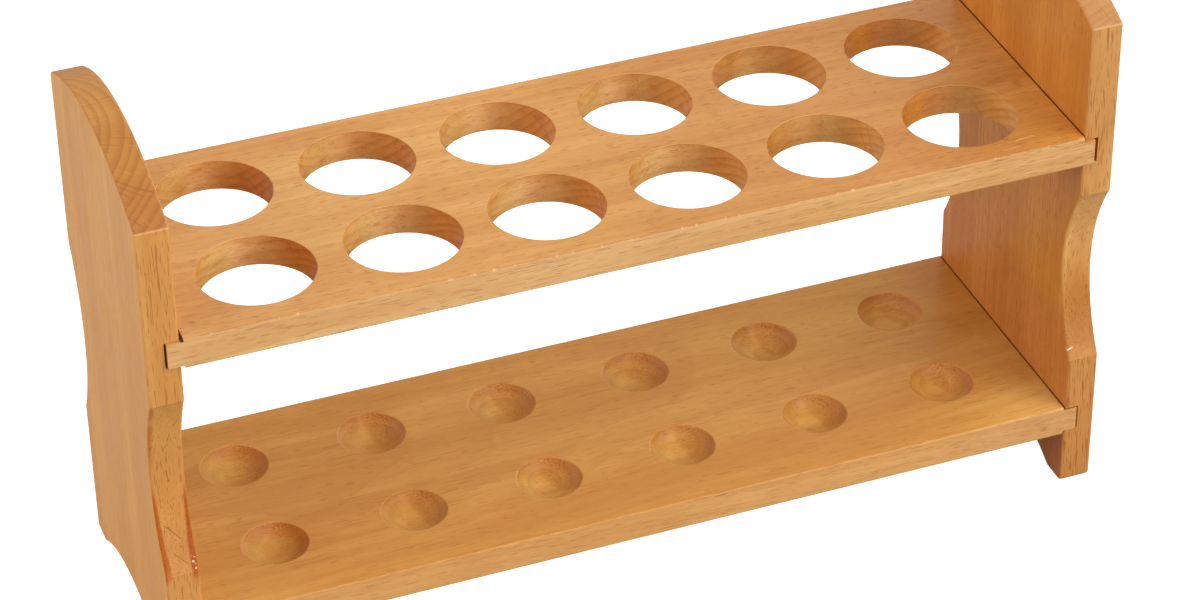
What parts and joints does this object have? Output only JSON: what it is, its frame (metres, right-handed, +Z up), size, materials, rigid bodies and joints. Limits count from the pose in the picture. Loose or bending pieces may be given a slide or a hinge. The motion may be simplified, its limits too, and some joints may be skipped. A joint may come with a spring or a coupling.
{
  "type": "test tube rack",
  "caption": "Open wooden rack for large test tubes: a drilled shelf above a board with round seats, both housed in shaped end panels with feet.",
  "frame": {"origin": "on the bench plane, midway between the four feet", "axes": "+X along the length of the rack, +Y from the front row to the back row, +Z up"},
  "size_m": [0.2584, 0.0804, 0.153],
  "materials": {
    "beech": "clear satin lacquer over steamed beech",
    "glue": "cured white wood glue, semi-clear"
  },
  "bodies": {
    "root": {"left_end_panel": "beech", "right_end_panel": "beech", "tube_shelf": "beech", "base_shelf": "beech", "shelf_glue_left": "glue", "shelf_glue_right": "glue", "base_glue_left": "glue", "base_glue_right": "glue"}
  },
  "joints": []
}
